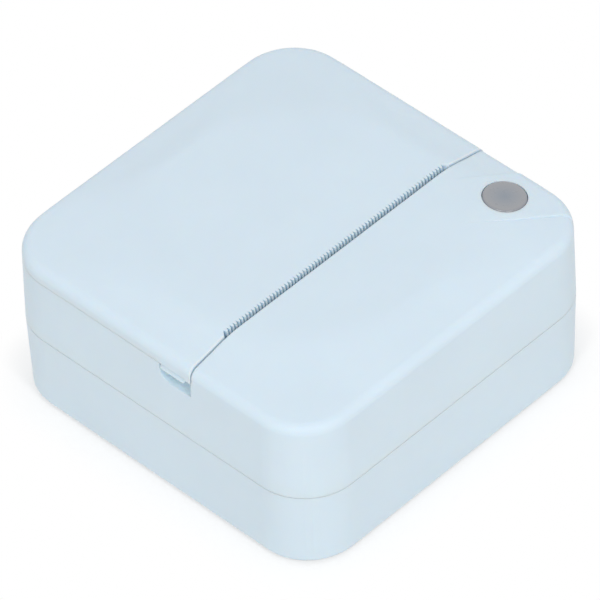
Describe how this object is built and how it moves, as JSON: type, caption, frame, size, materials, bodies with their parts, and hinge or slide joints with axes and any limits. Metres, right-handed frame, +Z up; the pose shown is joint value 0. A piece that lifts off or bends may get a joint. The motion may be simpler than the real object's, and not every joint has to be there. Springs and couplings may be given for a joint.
{
  "type": "pocket thermal printer",
  "caption": "Pocket-size square thermal printer for narrow paper rolls: a rounded case with a hinged lid, a serrated tear edge, a finger notch and a round button.",
  "frame": {"origin": "middle of the plan, on the surface that the rubber feet stand on", "axes": "+Z up, +X to the side with the button, -Y to the front panel, +Y to the hinge"},
  "size_m": [0.0824, 0.0824, 0.0394],
  "materials": {
    "case_plastic": "fine matte moulded",
    "button_plastic": "satin translucent grey",
    "well_plastic": "matte moulded",
    "soft_rubber": "smooth ground",
    "screw_steel": "zinc plated",
    "pin_steel": "ground",
    "frame_steel": "pressed bright",
    "gear_plastic": "moulded",
    "sink_aluminium": "milled",
    "head_ceramic": "glazed strip",
    "black_plastic": "matte",
    "connector_plastic": "moulded",
    "board_laminate": "solder mask",
    "cell_foil": "dull foil",
    "tape_foam": "foam",
    "lead_cover": "soft insulation"
  },
  "bodies": {
    "housing": {"base_shell": "case_plastic", "upper_shell": "case_plastic", "paper_well": "well_plastic", "rubber_feet": "soft_rubber", "case_screws": "screw_steel", "button_board_screws": "screw_steel", "deck_screws": "screw_steel", "frame_screws": "screw_steel", "motor_screws": "screw_steel", "charge_board_screws": "screw_steel", "hinge_pins": "pin_steel", "gear_studs": "pin_steel", "head_pivot_pin": "pin_steel", "head_spring": "pin_steel", "mechanism_frame": "frame_steel", "stepper_motor": "frame_steel", "radio_module": "frame_steel", "charge_socket": "frame_steel", "tact_switch": "black_plastic", "paper_sensor": "black_plastic", "board_chips": "black_plastic", "board_connectors": "connector_plastic", "charge_plug": "connector_plastic", "status_light": "connector_plastic", "main_board": "board_laminate", "button_board": "board_laminate", "charge_board": "board_laminate", "battery_cell": "cell_foil", "battery_tape": "tape_foam", "battery_leads": "lead_cover", "motor_leads": "lead_cover", "charge_leads": "lead_cover", "head_ribbon": "lead_cover"},
    "lid": {"lid_cover": "case_plastic", "platen_carrier": "well_plastic", "carrier_screws": "screw_steel", "platen_bushes": "gear_plastic"},
    "platen": {"platen_shaft": "pin_steel", "platen_rubber": "soft_rubber", "platen_gear": "gear_plastic"},
    "head": {"head_heat_sink": "sink_aluminium", "head_substrate": "head_ceramic", "head_driver_cover": "black_plastic", "head_connector": "connector_plastic"},
    "button": {"button_cap": "button_plastic", "switch_plunger": "black_plastic"},
    "rotor": {"motor_pinion": "gear_plastic", "motor_shaft": "pin_steel"},
    "reduction": {"reduction_gear": "gear_plastic"},
    "idler": {"idler_gear": "gear_plastic"}
  },
  "joints": [
    {"name": "lid_hinge", "type": "hinge", "parent": "housing", "child": "lid", "pos_m": [0, 0.03915, 0.0273], "axis": [-1, 0, 0], "range_deg": [0, 90]},
    {"name": "platen_spin", "type": "hinge", "parent": "lid", "child": "platen", "pos_m": [0, -0.0063, 0.0296], "axis": [1, 0, 0], "continuous": true},
    {"name": "idler_spin", "type": "hinge", "parent": "housing", "child": "idler", "pos_m": [0, -0.00534, 0.01764], "axis": [1, 0, 0], "continuous": true},
    {"name": "reduction_spin", "type": "hinge", "parent": "housing", "child": "reduction", "pos_m": [0, -0.0145, 0.0125], "axis": [1, 0, 0], "continuous": true},
    {"name": "motor_spin", "type": "hinge", "parent": "housing", "child": "rotor", "pos_m": [0, -0.026, 0.0125], "axis": [1, 0, 0], "continuous": true},
    {"name": "head_tilt", "type": "hinge", "parent": "housing", "child": "head", "pos_m": [0, -0.01268, 0.0143], "axis": [1, 0, 0], "range_deg": [0, 2], "stiffness_Nm_per_rad": 0.5, "springref_deg": -5.73, "deforming": ["head_spring"]},
    {"name": "button_press", "type": "slide", "parent": "housing", "child": "button", "axis": [0, 0, -1], "range_m": [0, 0.0004], "stiffness_N_per_m": 800, "springref_m": -0.0006}
  ],
  "couplings": [
    {"joint": "idler_spin", "follows": "platen_spin", "ratio": -0.71429},
    {"joint": "reduction_spin", "follows": "platen_spin", "ratio": 1.4286},
    {"joint": "motor_spin", "follows": "platen_spin", "ratio": -3.2653}
  ]
}
